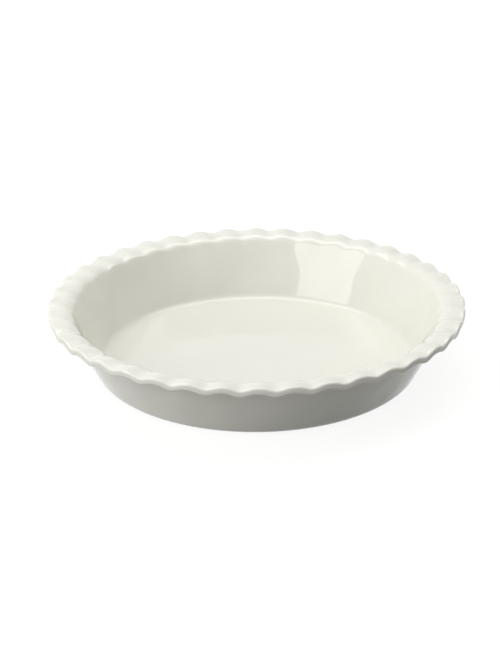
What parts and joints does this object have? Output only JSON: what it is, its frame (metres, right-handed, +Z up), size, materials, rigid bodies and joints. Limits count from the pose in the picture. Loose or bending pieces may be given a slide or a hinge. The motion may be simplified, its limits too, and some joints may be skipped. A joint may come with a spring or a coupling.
{
  "type": "pie plate",
  "caption": "Round glazed ceramic pie plate with a flat floor, sloping wall and a level brim whose edge runs in soft waves.",
  "frame": {"origin": "centre of the foot ring, on the surface the plate stands on", "axes": "+Z up along the plate's axis; crests of the rim lie on all four of +X, -X, +Y and -Y"},
  "size_m": [0.3, 0.3, 0.051],
  "materials": {
    "glaze": "gloss"
  },
  "bodies": {
    "root": {"plate": "glaze"}
  },
  "joints": []
}
